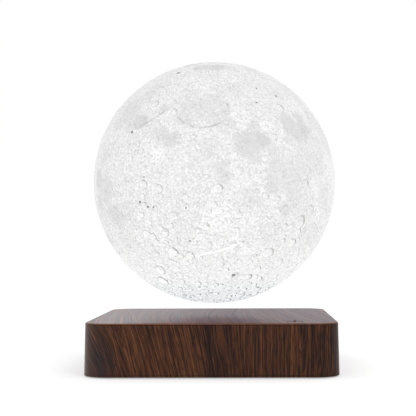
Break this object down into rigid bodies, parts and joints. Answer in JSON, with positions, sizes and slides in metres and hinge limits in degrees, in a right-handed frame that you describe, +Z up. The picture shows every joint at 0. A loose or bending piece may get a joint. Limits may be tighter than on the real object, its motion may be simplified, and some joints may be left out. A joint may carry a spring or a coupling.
{
  "type": "levitating globe lamp",
  "caption": "Cratered moon-like globe lamp that hovers over a low square wooden base which holds its levitation magnets, coils and power socket.",
  "frame": {"origin": "on the surface that the base stands on, under the middle of the base", "axes": "+Z up through the globe; +Y out of the back of the base, where the power socket is; the front faces -Y"},
  "size_m": [0.15, 0.15, 0.1883],
  "materials": {
    "walnut": "satin dark walnut grain",
    "black_plastic": "moulded, fine texture",
    "screw_steel": "zinc plated",
    "black_rubber": "matte",
    "green_board": "solder mask",
    "chip_black": "moulded package",
    "capacitor_sleeve": "shrink sleeve",
    "dark_ferrite": "sintered, ground",
    "nickel": "nickel plated",
    "brown_stud": "moulded, conductive",
    "copper_wire": "enamelled wire",
    "white_nylon": "moulded",
    "soft_iron": "turned",
    "brass_spacer": "turned",
    "red_insulation": "soft insulation",
    "moon_white": "printed relief, matte",
    "white_board": "white solder mask",
    "led_yellow": "phosphor under clear resin"
  },
  "bodies": {
    "base": {"wood_housing": "walnut", "bottom_cover": "black_plastic", "cover_screws": "screw_steel", "rubber_feet": "black_rubber", "main_board": "green_board", "control_chip": "chip_black", "driver_chips": "chip_black", "capacitors": "capacitor_sleeve", "magnet_tray": "black_plastic", "ring_magnet": "dark_ferrite", "tray_cover": "black_plastic", "module_screws": "screw_steel", "sending_coil": "copper_wire", "sensor_block": "white_nylon", "hall_sensors": "chip_black", "power_socket": "black_plastic", "socket_pin": "nickel", "touch_stud": "brown_stud", "touch_board": "green_board", "touch_wire": "red_insulation", "sending_wire": "red_insulation", "coil_bobbin_1": "white_nylon", "coil_winding_1": "copper_wire", "coil_core_1": "soft_iron", "coil_bobbin_2": "white_nylon", "coil_winding_2": "copper_wire", "coil_core_2": "soft_iron", "coil_bobbin_3": "white_nylon", "coil_winding_3": "copper_wire", "coil_core_3": "soft_iron", "coil_bobbin_4": "white_nylon", "coil_winding_4": "copper_wire", "coil_core_4": "soft_iron"},
    "float": {"float_magnet": "nickel"},
    "moon": {"moon_shell": "moon_white", "bottom_cap": "moon_white", "receiving_coil": "copper_wire", "magnet_plate": "white_nylon", "plate_screws": "screw_steel", "board_spacers": "brass_spacer", "receiver_board": "green_board", "board_screws": "screw_steel", "receiver_chips": "chip_black", "light_post": "white_nylon", "light_board": "white_board", "leds": "led_yellow", "light_wire": "red_insulation", "receiving_wire": "red_insulation"}
  },
  "joints": [
    {"name": "moon_lift", "type": "slide", "parent": "base", "child": "float", "axis": [0, 0, 1], "range_m": [0, 0.12]},
    {"name": "moon_spin", "type": "hinge", "parent": "float", "child": "moon", "pos_m": [0, 0, 0.11325], "axis": [0, 0, 1], "continuous": true}
  ]
}
